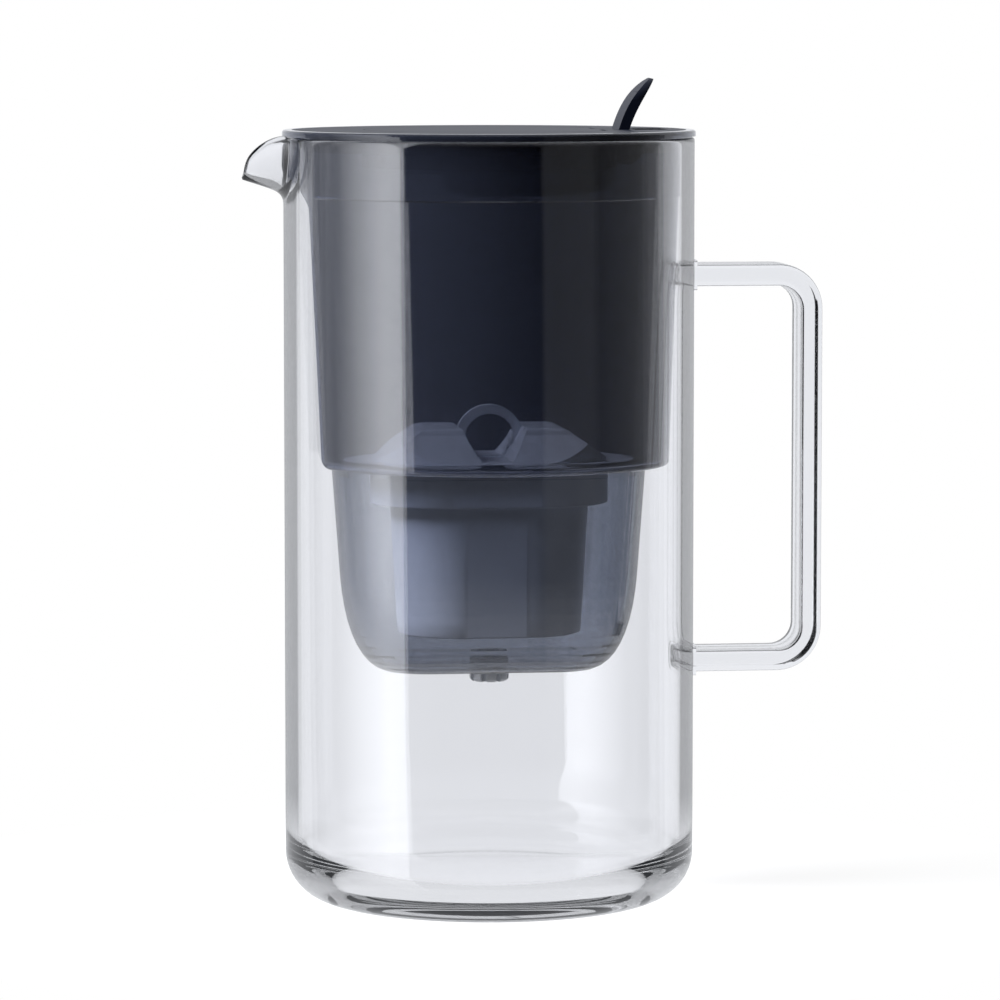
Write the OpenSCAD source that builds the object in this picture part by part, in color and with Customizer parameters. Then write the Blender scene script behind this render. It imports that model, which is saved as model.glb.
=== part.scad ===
// Water filter pitcher: a glass jug with a drooping spout and a strap handle. A smoked reservoir
// hangs in its mouth by a flange, an oval cup below it holds the cartridge, and a lid with a
// thumb-operated flap closes it. +X points to the handle, -X to the spout, the base is at z = 0.

/* [Glass jug] */
// Outer radius of the glass body
jug_r = 63; // [61:0.5:70]
// Height of the glass rim above the base
rim_z = 235; // [228:1:260]
// Thickness of the glass wall
glass_t = 3.8; // [2.6:0.1:4.4]
// Thickness of the glass base
base_t = 7.5; // [5:0.5:12]
// Outside radius of the heel
heel_r = 15; // [10:0.5:20]
// Width of the flat land on top of the rim
rim_land = 0.6; // [0.4:0.1:1.2]

/* [Spout] */
// How far the tip reaches beyond the glass body
spout_reach = 13.6; // [11:0.2:17]
// How far the tip lies below the rim
spout_drop = 12; // [9:0.5:13]
// Width where the spout leaves the body
spout_w = 37; // [30:1:44]
// Width of the tip
spout_tip_w = 7; // [5.5:0.5:10]
// Depth of the keel below the rim, where it leaves the body
spout_depth = 19.2; // [17:0.2:23]
// Angle at which the keel rises to the tip
keel_rise = 17.6; // [12:0.2:20]
// Thickness of the spout's glass
spout_t = 2.2; // [1.6:0.1:2.6]

/* [Handle] */
// Reach of the handle beyond the glass body
handle_reach = 39.7; // [34:0.5:46]
// Height of the handle's lower face above the base
handle_z = 70; // [60:1:80]
// Height of the handle over both bars
handle_h = 126; // [110:1:140]
// Thickness of the strap
handle_t = 6.8; // [5:0.2:9]
// Width of the strap
handle_w = 18; // [14:0.5:22]
// Outside radius of the two bends
handle_bend = 13.9; // [11:0.5:17]
// Rounding of the strap's edges
handle_edge = 2; // [1:0.1:2.4]
// Thickness of the weld pads on the body
pad_t = 1; // [0.6:0.1:1.6]
// Width by which a weld pad stands out around the strap
pad_rim = 1.2; // [0.6:0.1:2]

/* [Reservoir] */
// Overhang of the flange beyond the glass
flange_over = 0.4; // [0:0.1:1.5]
// Height of the flange's top above the rim
flange_h = 2.3; // [2.1:0.1:3.5]
// Depth of the reservoir below the rim
res_depth = 99.9; // [90:1:110]
// Thickness of the reservoir's wall
res_t = 1.8; // [1.4:0.1:2.2]
// Thickness of the reservoir's floor
res_floor_t = 1.5; // [1.2:0.1:2.4]
// Height of the collar below the rim
collar_h = 18; // [14:0.5:22]
// Step from the collar to the wall below it
collar_step = 0.4; // [0.2:0.1:0.8]
// Taper of the wall from the collar to the floor, on the radius
res_taper = 2.7; // [1.5:0.1:3.5]
// Distance from the axis to the flat side, at its top
flat_x = 55.3; // [54:0.1:56.2]
// Taper of the flat side down to the floor
flat_taper = 3; // [1.5:0.1:3.5]
// Height of the flat side's top above the collar's lower edge
flat_top = -2.5; // [-6:0.5:0]
// Height over which the flat side runs out into the collar
flat_runout = 8; // [5:0.5:12]

/* [Filter cup] */
// Depth of the cup below the reservoir
cup_depth = 64.1; // [60:0.5:66]
// Thickness of the cup's wall
cup_t = 2.2; // [1.6:0.1:2.4]
// Height of the cup's straight flank below its top
cup_flank = 35; // [30:1:40]
// Draft of the straight flank
cup_draft = 2.6; // [1.5:0.1:3]
// Set-in of the level bottom at each end of the cup
cup_bilge = 18.6; // [16:0.2:21]
// Depth of the seat ledge below the cup's top
seat_depth = 1.5; // [1.2:0.1:2.5]
// Width of the seat ledge
seat_w = 3; // [2.5:0.1:3.2]
// Thickness of the seat ledge
seat_t = 1.6; // [1.2:0.1:2.4]

/* [Outlet nozzle] */
// Radius of the nozzle's crown
nozzle_r = 6.1; // [5.2:0.1:7.5]
// Height of the crown below the cup
nozzle_h = 3.5; // [2.5:0.1:4.5]
// Radius of the nozzle's bore
nozzle_bore = 3.2; // [2:0.1:3.6]
// Radius of the stem through the cup's floor
nozzle_stem = 4.6; // [4.2:0.1:4.9]
// Number of drip slots in the crown
nozzle_slots = 8; // [6:1:10]
// Width of a drip slot
nozzle_slot_w = 1.5; // [0.8:0.1:1.8]
// Height of the head inside the cup
nozzle_head = 1.2; // [0.8:0.1:1.6]

/* [Cartridge] */
// Length of the cartridge's flange
flange_len = 91.2; // [88:0.2:92]
// Width of the cartridge's flange
flange_w = 53.2; // [50:0.2:54]
// Thickness of the seal under the flange
seal_t = 0.9; // [0.6:0.1:1.5]
// Thickness of the flange
cart_flange_t = 1; // [0.8:0.1:1.5]
// Length of the neck
neck_len = 73.4; // [70:0.2:75]
// Width of the neck
neck_w = 47.2; // [45:0.2:47.6]
// Height of the neck below the flange
neck_h = 11.5; // [9:0.5:14]
// Length of the body at its top
cart_len = 61.2; // [58:0.2:64]
// Width of the body at its top
cart_w = 43.2; // [40:0.2:44.5]
// Height of the body below the neck
cart_h = 40; // [34:0.5:42]
// Taper of the body down to its base, on the radius
cart_taper = 2.2; // [1:0.1:3]
// Wall thickness of the cartridge
cart_t = 1.4; // [1:0.1:1.8]
// Thickness of the slotted base
cart_base_t = 2; // [1.5:0.1:3]
// Thickness of the two fine screens
screen_t = 0.6; // [0.4:0.1:1]

/* [Cartridge cap] */
// Thickness of the cap's rim plate
cap_plate_t = 0.8; // [0.6:0.1:1.2]
// Set-back of the rim plate from the flange's edge
cap_setback = 0.8; // [0.4:0.1:1.5]
// Height of the mound above the rim plate
mound_h = 10.3; // [8:0.1:13]
// Length of the mound at its foot
mound_len = 72.4; // [68:0.2:76]
// Length of the mound's level top
mound_top = 42; // [38:0.5:46]
// Width of the mound at its foot
mound_w = 46; // [42:0.5:50]
// Width of the mound at its top
mound_top_w = 29; // [26:0.5:34]
// Wall thickness of the mound
mound_t = 1.3; // [1:0.1:1.6]
// Outer radius of the pull ring
ring_r = 10.5; // [9.5:0.1:12]
// Radius of the pull ring's hole
ring_hole = 7.65; // [6.5:0.05:8.2]
// Thickness of the pull ring
ring_t = 3.2; // [2.4:0.1:4.5]
// Height of the ring's centre above the rim plate
ring_z = 6.3; // [5.5:0.1:8]
// Number of inlet slots along each side of the mound's top
inlet_slots = 7; // [4:1:9]

/* [Lid] */
// Thickness of the lid's plate
lid_t = 1.4; // [1.2:0.1:1.8]
// Width of the flange left outside the lid
lid_border = 3; // [2.2:0.1:3.2]
// Depth of the locating ring below the plate
locate_h = 5; // [3:0.5:8]
// Wall thickness of the ring and the collar
lid_wall = 1.4; // [1.2:0.1:1.8]
// Outer radius of the collar round the fill opening
fill_r = 39; // [36:0.5:40]
// Depth of the collar below the plate
fill_h = 9.9; // [9:0.1:12]
// Width of the ledge that carries the flap
flap_ledge = 0.9; // [0.7:0.1:1.1]
// Number of ribs between the ring and the collar
lid_ribs = 6; // [4:2:10]

/* [Flap and lever] */
// Depth of the straight cut at the flap's rear, from the collar's outside
rear_cut = 6; // [5:0.5:8]
// Distance of the hinge pin behind the collar
hinge_back = 3; // [2.5:0.1:4]
// Depth of the hinge pin below the lid's top
hinge_drop = 6.3; // [6:0.1:7]
// Radius of the hinge pin
pin_r = 1.25; // [1:0.05:1.5]
// Width of the flap's hinge block
block_w = 15; // [12:0.5:17]
// Thickness of the flap's hinge block
block_t = 4.6; // [4.2:0.1:5]
// Thickness of the two hinge lugs
lug_t = 2.4; // [2:0.1:3]
// Height of the lever above the lid
lever_h = 15.7; // [13:0.5:18]
// Lean of the lever towards the handle
lever_lean = 9.8; // [8:0.2:12]
// Thickness of the lever at its foot
lever_t = 2.8; // [2.2:0.1:3.4]
// Width of the catch under the flap's front edge
catch_w = 10; // [8:0.5:12]
// Thickness of the catch
catch_t = 5; // [3:0.2:5.4]

/* [Splash guard] */
// Depth of the guard's scoop below the collar
guard_h = 8.4; // [6:0.2:10]
// Width of the scoop
guard_w = 48; // [40:1:56]
// Length of the scoop on the spout's side of the axis
guard_reach = 14; // [8:0.5:20]
// Thickness of the guard
guard_t = 1.4; // [1:0.1:1.8]
// Width of the guard's ring
guard_ring = 3; // [2.2:0.1:3.2]

/* [Clearances] */
// Gap between the glass and the reservoir's collar
collar_gap = 0.6; // [0.4:0.1:0.8]
// Gap round the cartridge's flange in the cup's mouth
seat_gap = 0.8; // [0.4:0.1:1.2]
// Width by which the seat ledge reaches in past the seal
seal_gap = 0.3; // [0.2:0.1:0.5]
// Gap round the lid in its recess
lid_gap = 0.3; // [0.2:0.05:0.5]
// Gap between the locating ring and the reservoir
locate_gap = 0.4; // [0.3:0.1:0.6]
// Gap round the flap
flap_gap = 0.4; // [0.3:0.05:0.6]
// Gap behind the flap's straight edge, which swings out
rear_gap = 1.2; // [1.1:0.1:1.6]
// Extra gap behind the flap's round edge, which swings out too
swing_gap = 0.55; // [0.5:0.05:0.6]
// Gap on each side of the hinge block
block_gap = 0.9; // [0.5:0.1:1.2]
// Radial gap between the pin and the flap's bore
pin_gap = 0.06; // [0.02:0.01:0.1]
// Gap between the catch and the splash guard
catch_gap = 0.6; // [0.4:0.1:1.2]
// Gap over the inlet screen
screen_gap = 0.4; // [0.2:0.1:0.8]

/* [Hidden] */
$fn = 96;
eps = 0.01;
far = 400;

glass_in = jug_r - glass_t;
heel_in = heel_r - 0.5;
rim_round = (glass_t - rim_land) / 2;

// Lips of the spout: an arc that leaves the rim level and passes through the tip
lip_back = 2.1;
lip_run = spout_reach + lip_back;
lip_arc = (lip_run * lip_run + spout_drop * spout_drop) / (2 * spout_drop);
keel_fillet = 2.3;
root_in = 4.6;
trough_root = 1;
least_lip = 0.3;
bow_steps = 16;
spout_steps = 14;

handle_x = jug_r + handle_reach;
handle_top = handle_z + handle_h;

flange_r = jug_r + flange_over;
flange_z = rim_z + flange_h;
seat_step = 0.4;
seat_out = jug_r - rim_round + 0.5;
collar_r = glass_in - collar_gap;
collar_z = rim_z - collar_h;
collar_in = collar_r - res_t;
res_z = rim_z - res_depth;
res_top_r = collar_r - collar_step;
res_bot_r = res_top_r - res_taper;
res_edge = 1.2;
flat_z = collar_z + flat_top;
flat_corner = 3;

cup_top = res_z;
cup_len = flange_len + 2 * (seat_gap + cup_t);
cup_w = flange_w + 2 * (seat_gap + cup_t);
cup_z = cup_top - cup_depth;
cup_straight = (cup_len - cup_w) / 2;
cup_floor = cup_z + cup_t;
mouth_len = cup_len - 2 * cup_t;
mouth_w = cup_w - 2 * cup_t;
seat_z = cup_top - seat_depth;

cart_flange_z = seat_z + seal_t;
cap_z = cart_flange_z + cart_flange_t;
mound_z = cap_z + cap_plate_t;
neck_z = cart_flange_z - neck_h;
cart_z = neck_z - cart_h;
cart_straight = (cart_len - cart_w) / 2;

lid_z = flange_z - lid_t;
recess_r = flange_r - lid_border;
lid_r = recess_r - lid_gap;
fill_in = fill_r - lid_wall;
open_r = fill_in + flap_ledge;
flap_r = open_r - flap_gap;
fill_z = lid_z - fill_h;
slot_w = block_w + 2 * block_gap;
hinge_x = fill_r + hinge_back;
hinge_z = flange_z - hinge_drop;
flap_rear = fill_r - rear_cut;
slot_reach = 12.4;
slot_end = hinge_x + slot_reach;
lug_r = 3.6;
block_below = 4.4;

function bezier(a, b, c, d, n) =
    [for (i = [0:n]) let (t = i / n, u = 1 - t)
        u * u * u * a + 3 * u * u * t * b + 3 * u * t * t * c + t * t * t * d];
function arc(x, y, r, from, to, n) =
    [for (i = [0:n]) let (a = from + (to - from) * i / n) [x + r * cos(a), y + r * sin(a)]];

// Rectangle with round corners, centred
module round_rect(w, h, r) {
    square([w - 2 * r, h], center = true);
    square([w, h - 2 * r], center = true);
    for (x = [-1, 1], y = [-1, 1]) translate([x * (w / 2 - r), y * (h / 2 - r)]) circle(r);
}

// Oval with two round ends, centred, its length along X
module oval(l, w) {
    square([l - w, w], center = true);
    for (x = [-1, 1]) translate([x * (l - w) / 2, 0]) circle(w / 2);
}

// Oval solid whose section, drawn from its axis outwards, is the child
module oval_sweep(straight) {
    for (x = [-1, 1]) translate([x * straight, 0, 0]) rotate_extrude() children();
    rotate([90, 0, 90]) translate([0, 0, -straight]) linear_extrude(2 * straight) {
        children();
        mirror([1, 0]) children();
    }
}

// Outline in the XZ plane, extruded over a width centred on the plane
module side_prism(width) {
    rotate([90, 0, 0]) linear_extrude(width, center = true) children();
}

// Solid through a row of closed rings of equal length
module skin(rings) {
    n = len(rings[0]);
    m = len(rings);
    sides = [for (i = [0:m - 2], j = [0:n - 1]) let (k = (j + 1) % n)
        each [[i * n + j, i * n + k, (i + 1) * n + k], [i * n + j, (i + 1) * n + k, (i + 1) * n + j]]];
    ends = [[for (j = [n - 1:-1:0]) j], [for (j = [0:n - 1]) (m - 1) * n + j]];
    polyhedron([for (r = rings) each r], concat(sides, ends), convexity = 6);
}

// Glass jug

// Half outline of the solid body: level base, round heel and fire-polished rim
module jug_outline() {
    square([jug_r - heel_r, rim_z - rim_round]);
    translate([0, heel_r]) square([jug_r, rim_z - rim_round - heel_r]);
    translate([jug_r - heel_r, heel_r]) circle(heel_r);
    translate([0, heel_r]) square([jug_r - rim_round, rim_z - heel_r]);
    translate([jug_r - rim_round, rim_z - rim_round]) circle(rim_round);
}

// Half outline of the cavity, with the rim's inner rounding left standing
module cavity_outline() {
    floor_r = glass_in - heel_in;
    difference() {
        union() {
            translate([0, base_t]) square([floor_r, far]);
            translate([0, base_t + heel_in]) square([glass_in + rim_round, far]);
            translate([floor_r, base_t + heel_in]) circle(heel_in);
        }
        translate([glass_in, 0]) square([rim_round, rim_z - rim_round]);
        translate([glass_in + rim_round, rim_z - rim_round]) circle(rim_round);
    }
}

function lip_z(x) =
    let (d = max(0, x + lip_back)) rim_z - lip_arc + sqrt(lip_arc * lip_arc - d * d);
function keel_z(x) =
    rim_z - spout_depth + keel_fillet + x * tan(keel_rise) - keel_fillet * exp(-x / (0.4 * keel_fillet));
function spout_half(x) =
    let (s = max(0, x) / spout_reach) spout_tip_w / 2 + (spout_w - spout_tip_w) / 2 * pow(1 - s, 1.25);

// Half ellipse of one spout station, from lip to lip round the keel
function spout_bow(x, half, low, high) =
    [for (i = [0:bow_steps]) let (a = 180 * i / bow_steps - 90)
        [-jug_r - x, half * sin(a), high - (high - low) * cos(a)]];

module spout_outside() {
    stations = concat([-root_in, -lip_back],
        [for (i = [0:spout_steps]) spout_reach * (1 - pow(1 - i / spout_steps, 1.6))]);
    skin([for (x = stations)
        spout_bow(x, spout_half(x), min(keel_z(max(0, x)), lip_z(x) - least_lip), lip_z(x))]);
}

// Trough: its floor leaves the wall's inside along the same curve as the keel outside, set in by the glass
module spout_inside() {
    shift = glass_t - trough_root;
    lift = spout_t / cos(keel_rise) - shift * tan(keel_rise);
    above = rim_z + 8;
    stations = concat([-3 * glass_t],
        [for (i = [0:spout_steps + 6]) -glass_t + (glass_t + spout_reach + 4) * pow(i / (spout_steps + 6), 1.4)]);
    skin([for (x = stations)
        let (half = max(1, spout_half(min(x, spout_reach)) - spout_t),
            low = keel_z(max(x, -glass_t) + shift) + lift,
            high = max(low, lip_z(min(x, spout_reach))) + 1)
        concat([[-jug_r - x, -half, above]], spout_bow(x, half, low, high), [[-jug_r - x, half, above]])]);
}

module glass_jug() {
    color("aliceblue", 0.4) difference() {
        union() {
            rotate_extrude() intersection() {
                jug_outline();
                square([far, far]);
            }
            spout_outside();
        }
        rotate_extrude() intersection() {
            cavity_outline();
            square([far, far]);
        }
        spout_inside();
    }
}

// Strap handle

module strap_section() {
    round_rect(handle_t, handle_w, handle_edge);
}

// Quarter bend that joins a bar to the upright, with its centre of curvature at the origin
module strap_bend() {
    rotate([90, 0, 0]) rotate_extrude(angle = 90) translate([handle_bend - handle_t / 2, 0]) strap_section();
}

// Bar from the body to the bend, its outer face at z = 0
module strap_bar() {
    translate([jug_r - glass_t, 0, -handle_t / 2]) rotate([0, 90, 0])
        linear_extrude(handle_reach - handle_bend + glass_t) strap_section();
}

module weld_pad() {
    translate([jug_r / 2, 0, -handle_t / 2]) rotate([0, 90, 0])
        linear_extrude(jug_r) round_rect(handle_t + 2 * pad_rim, handle_w + 2 * pad_rim, handle_edge + pad_rim);
}

module glass_handle() {
    color("aliceblue", 0.4) difference() {
        union() {
            for (end = [0, 1]) translate([0, 0, end == 1 ? handle_top : handle_z]) mirror([0, 0, 1 - end]) {
                strap_bar();
                translate([handle_x - handle_bend, 0, -handle_bend]) strap_bend();
                intersection() {
                    weld_pad();
                    translate([0, 0, -far / 4]) cylinder(r = jug_r + pad_t, h = far / 2);
                }
            }
            translate([handle_x - handle_t / 2, 0, handle_z + handle_bend])
                linear_extrude(handle_h - 2 * handle_bend) strap_section();
        }
        translate([0, 0, -eps]) cylinder(r = jug_r, h = far);
    }
}

// Reservoir

module reservoir_outline() {
    top_edge = 0.9;
    polygon(concat(
        [[0, res_z]],
        arc(res_bot_r - res_edge, res_z + res_edge, res_edge, -90, 0, 6),
        [[res_top_r, collar_z], [collar_r, collar_z + collar_step], [collar_r, rim_z],
            [seat_out, rim_z], [seat_out, rim_z + seat_step], [flange_r, rim_z + seat_step]],
        arc(flange_r - top_edge, flange_z - top_edge, top_edge, 0, 90, 6),
        [[recess_r, flange_z], [recess_r, lid_z], [0, lid_z]]
    ));
}

module reservoir_cavity() {
    r = res_edge;
    polygon(concat(
        [[0, res_z + res_floor_t]],
        arc(res_bot_r - res_t - r, res_z + res_floor_t + r, r, -90, 0, 6),
        [[res_top_r - res_t, collar_z], [collar_in, collar_z + 2 * collar_step],
            [collar_in, lid_z + eps], [0, lid_z + eps]]
    ));
}

// Side view that the reservoir fits in: its left edge is the flat side with the pour channel
module flat_outline(inset) {
    low_x = flat_x - flat_taper - inset;
    low_z = res_z + (inset > 0 ? res_floor_t : 0);
    corner = flat_corner - (inset > 0 ? res_t : 0);
    polygon(concat(
        [[far, low_z - eps]],
        arc(-low_x + corner, low_z + corner, corner, 270, 180, 6),
        [[-flat_x + inset, flat_z], [-collar_r + inset, flat_z + flat_runout],
            [-far, flat_z + flat_runout], [-far, far], [far, far]]
    ));
}

module reservoir() {
    color("darkslateblue", 0.7) difference() {
        intersection() {
            rotate_extrude() reservoir_outline();
            side_prism(far) flat_outline(0);
        }
        intersection() {
            rotate_extrude() reservoir_cavity();
            side_prism(far) flat_outline(res_t);
        }
        translate([0, 0, res_z - 1]) linear_extrude(res_floor_t + 2) oval(mouth_len, mouth_w);
    }
}

// Filter cup

// Section of the cup's end, from its end axis outwards: level foot, deep bilge and drafted flank
module cup_section(inset) {
    foot = cup_len / 2 - cup_bilge - cup_straight - inset;
    top = cup_w / 2 - inset;
    knee = top - cup_draft;
    knee_z = cup_top - cup_flank;
    low = cup_z + inset;
    polygon(concat(
        [[0, low]],
        bezier([foot, low], [foot + 9.4, low], [knee - 1.4, knee_z - 17], [knee, knee_z], 10),
        [[top, cup_top + (inset > 0 ? eps : 0)], [0, cup_top + (inset > 0 ? eps : 0)]]
    ));
}

module filter_cup() {
    color("slategray", 0.6) difference() {
        union() {
            difference() {
                oval_sweep(cup_straight) cup_section(0);
                oval_sweep(cup_straight) cup_section(cup_t);
            }
            translate([0, 0, seat_z - seat_t]) linear_extrude(seat_t) difference() {
                oval(mouth_len + cup_t, mouth_w + cup_t);
                oval(mouth_len - 2 * seat_w, mouth_w - 2 * seat_w);
            }
        }
        translate([0, 0, cup_z - 1]) cylinder(r = nozzle_stem, h = cup_t + 2);
    }
}

// Outlet nozzle: a head inside the cup, a stem through its floor and a slotted crown below

module outlet_nozzle() {
    head_r = nozzle_stem + 1.4;
    edge = 0.8;
    color("silver") difference() {
        union() {
            translate([0, 0, cup_z - nozzle_h + edge]) cylinder(r = nozzle_r, h = nozzle_h - edge);
            translate([0, 0, cup_z - nozzle_h]) cylinder(r1 = nozzle_r - edge, r2 = nozzle_r, h = edge);
            translate([0, 0, cup_z - eps]) cylinder(r = nozzle_stem, h = cup_t + 2 * eps);
            translate([0, 0, cup_floor]) cylinder(r1 = head_r, r2 = head_r - 0.5, h = nozzle_head);
        }
        translate([0, 0, cup_z - nozzle_h - 1]) cylinder(r = nozzle_bore, h = far);
        for (i = [0:nozzle_slots - 1]) rotate([0, 0, (i + 0.5) * 360 / nozzle_slots])
            translate([nozzle_bore + 0.8, -nozzle_slot_w / 2, cup_z - nozzle_h - 1])
                cube([nozzle_r, nozzle_slot_w, nozzle_h]);
    }
}

// Cartridge

// Section of the cartridge's tapered body, from its end axis outwards
module cart_section(inset, low, high) {
    function r(z) = cart_w / 2 - inset - cart_taper * (neck_z - z) / cart_h;
    polygon([[0, low], [r(low), low], [r(high), high], [0, high]]);
}

module cartridge_shell() {
    color("lightsteelblue") difference() {
        union() {
            oval_sweep(cart_straight) cart_section(0, cart_z, neck_z + cart_t);
            translate([0, 0, neck_z]) linear_extrude(neck_h + eps) oval(neck_len, neck_w);
            translate([0, 0, cart_flange_z]) linear_extrude(cart_flange_t) oval(flange_len, flange_w);
        }
        oval_sweep(cart_straight) cart_section(cart_t, cart_z - 1, neck_z + 2 * cart_t);
        translate([0, 0, neck_z + cart_t]) linear_extrude(far)
            oval(neck_len - 2 * cart_t, neck_w - 2 * cart_t);
    }
}

// Slotted base that closes the shell and lets the filtered water out
module cartridge_base() {
    pitch = 3.6;
    slot = 1.6;
    margin = 5;
    foot_w = cart_w - 2 * (cart_t + cart_taper + margin);
    rows = floor(foot_w / pitch / 2);
    color("gainsboro") difference() {
        oval_sweep(cart_straight) cart_section(cart_t, cart_z, cart_z + cart_base_t);
        for (i = [-rows:rows])
            let (side = sqrt(pow(foot_w / 2, 2) - pow(i * pitch, 2)))
                translate([0, i * pitch, cart_z - 1])
                    linear_extrude(cart_base_t + 2) round_rect(2 * (cart_straight + side), slot, 0.45 * slot);
    }
}

module outlet_screen() {
    low = cart_z + cart_base_t;
    color("whitesmoke") oval_sweep(cart_straight) cart_section(cart_t, low, low + screen_t);
}

module filter_granules() {
    low = cart_z + cart_base_t + screen_t;
    color("dimgray") {
        oval_sweep(cart_straight) cart_section(cart_t, low, neck_z + cart_t);
        translate([0, 0, neck_z + cart_t]) linear_extrude(neck_h - cart_t - screen_t - screen_gap)
            oval(neck_len - 2 * cart_t, neck_w - 2 * cart_t);
    }
}

module inlet_screen() {
    color("whitesmoke") translate([0, 0, cart_flange_z - screen_t - screen_gap]) linear_extrude(screen_t)
        oval(neck_len - 2 * cart_t, neck_w - 2 * cart_t);
}

// Mound of the cap: its side view and its end view cross inside an oval plan
module mound(inset) {
    foot = mound_len / 2 - inset;
    top = mound_top / 2 - inset / 2;
    low = cap_z - (inset > 0 ? 1 : 0);
    high = mound_z + mound_h - inset;
    foot_w = mound_w / 2 - inset;
    top_w = mound_top_w / 2 - inset;
    intersection() {
        side_prism(far) polygon(concat(
            [[-foot, low], [-foot, mound_z]],
            bezier([-top - 2.7, high - 1.6], [-top - 1.6, high - 0.5], [-top, high], [-top + 2, high], 6),
            bezier([top - 2, high], [top, high], [top + 1.6, high - 0.5], [top + 2.7, high - 1.6], 6),
            [[foot, mound_z], [foot, low]]
        ));
        rotate([90, 0, 90]) linear_extrude(far, center = true) polygon(concat(
            [[-foot_w, low], [-foot_w, mound_z]],
            bezier([-top_w - 0.6, high - 2], [-top_w, high - 0.6], [-top_w, high], [-top_w + 1.6, high], 5),
            bezier([top_w - 1.6, high], [top_w, high], [top_w, high - 0.6], [top_w + 0.6, high - 2], 5),
            [[foot_w, mound_z], [foot_w, low]]
        ));
        translate([0, 0, low]) linear_extrude(far) oval(2 * foot, 2 * foot_w);
    }
}

// Side view of the trench that the pull ring stands in
module trench_outline(grow) {
    low = mound_z + 0.6 - grow;
    polygon(concat(
        [[-4 - grow, low]],
        bezier([-4.6 - grow, low], [-7.4 - grow, mound_z + 4], [-8.4 - grow, mound_z + mound_h - 3],
            [-ring_r - grow, mound_z + mound_h + 1], 6),
        bezier([ring_r + grow, mound_z + mound_h + 1], [8.4 + grow, mound_z + mound_h - 3],
            [7.4 + grow, mound_z + 4], [4.6 + grow, low], 6),
        [[4 + grow, low]]
    ));
}

module ring_outline() {
    difference() {
        union() {
            translate([0, mound_z + ring_z]) circle(ring_r);
            translate([-5, cap_z]) square([10, ring_z]);
        }
        intersection() {
            translate([0, mound_z + ring_z]) circle(ring_hole);
            translate([-far / 2, mound_z + 0.9]) square([far, far]);
        }
        translate([-far / 2, cap_z - far]) square([far, far]);
    }
}

module cartridge_cap() {
    slot_pitch = mound_top / (inlet_slots + 1);
    slot_y = 0.31 * mound_top_w;
    color("lightsteelblue") difference() {
        union() {
            translate([0, 0, cap_z]) linear_extrude(cap_plate_t)
                oval(flange_len - 2 * cap_setback, flange_w - 2 * cap_setback);
            difference() {
                mound(0);
                side_prism(far) trench_outline(0);
            }
            side_prism(ring_t) ring_outline();
        }
        difference() {
            mound(mound_t);
            side_prism(far) trench_outline(mound_t);
            side_prism(ring_t) ring_outline();
        }
        for (i = [1:inlet_slots], y = [-1, 1])
            translate([i * slot_pitch - mound_top / 2, y * slot_y, mound_z + mound_h - 2 * mound_t])
                linear_extrude(far) round_rect(2.6, 1.4, 0.6);
    }
}

module cartridge_seal() {
    color("gray") translate([0, 0, seat_z]) linear_extrude(seal_t) difference() {
        oval(flange_len, flange_w);
        oval(mouth_len - 2 * (seat_w - seal_gap), mouth_w - 2 * (seat_w - seal_gap));
    }
}

// Lid

// Plan of the fill opening: a circle with a straight edge on the hinge side
module flap_plan(r, rear) {
    intersection() {
        circle(r);
        translate([-far, -far / 2]) square([far + rear, far]);
    }
}

module hinge_lug() {
    rotate([90, 0, 0]) linear_extrude(lug_t) difference() {
        union() {
            translate([hinge_x, hinge_z]) circle(lug_r);
            translate([hinge_x - lug_r, hinge_z]) square([2 * lug_r, lid_z - hinge_z + eps]);
        }
        translate([hinge_x, hinge_z]) circle(pin_r);
    }
}

module lid_frame() {
    locate_r = collar_in - locate_gap;
    rib_h = 4;
    bite = 0.5;
    color("black") difference() {
        union() {
            translate([0, 0, lid_z]) linear_extrude(lid_t) difference() {
                circle(lid_r);
                for (x = [0, swing_gap]) translate([x, 0]) flap_plan(open_r, flap_rear + rear_gap - x);
            }
            translate([0, 0, lid_z - locate_h]) linear_extrude(locate_h + eps) difference() {
                circle(locate_r);
                circle(locate_r - lid_wall);
            }
            translate([0, 0, fill_z]) linear_extrude(fill_h) difference() {
                circle(fill_r);
                circle(fill_in);
            }
            for (i = [0:lid_ribs - 1]) rotate([0, 0, (i + 0.5) * 360 / lid_ribs])
                translate([fill_r - bite, -lid_wall / 2, lid_z - rib_h])
                    cube([locate_r - lid_wall - fill_r + 2 * bite, lid_wall, rib_h + eps]);
        }
        translate([fill_in - lid_wall, -slot_w / 2, fill_z - 1])
            cube([slot_end - fill_in + lid_wall, slot_w, far]);
        translate([flap_rear, -slot_w / 2, lid_z - eps])
            cube([slot_end - flap_rear, slot_w, far]);
    }
    color("black") for (y = [-1, 1]) translate([0, y * (slot_w / 2 + lug_t / 2) + lug_t / 2, 0]) hinge_lug();
}

module hinge_pin() {
    length = slot_w + 2 * lug_t;
    color("silver") translate([hinge_x, 0, hinge_z]) rotate([90, 0, 0])
        cylinder(r = pin_r, h = length, center = true);
}

// Splash guard: a ring under the collar and a scoop that turns the stream towards the spout's side

module scoop_outline(inset) {
    low = fill_z - guard_h + inset;
    high = fill_z + (inset > 0 ? eps : 0);
    back = fill_r - 1 - inset;
    polygon(concat(
        inset > 0 ? [[-far, high], [-far, low]] : [[-guard_reach, high], [-guard_reach + 3.5, low]],
        bezier([back - 21, low], [back - 12, low], [back - 5, low + 2], [back - 1.6, low + guard_h / 2], 8),
        [[back, high]]
    ));
}

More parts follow.
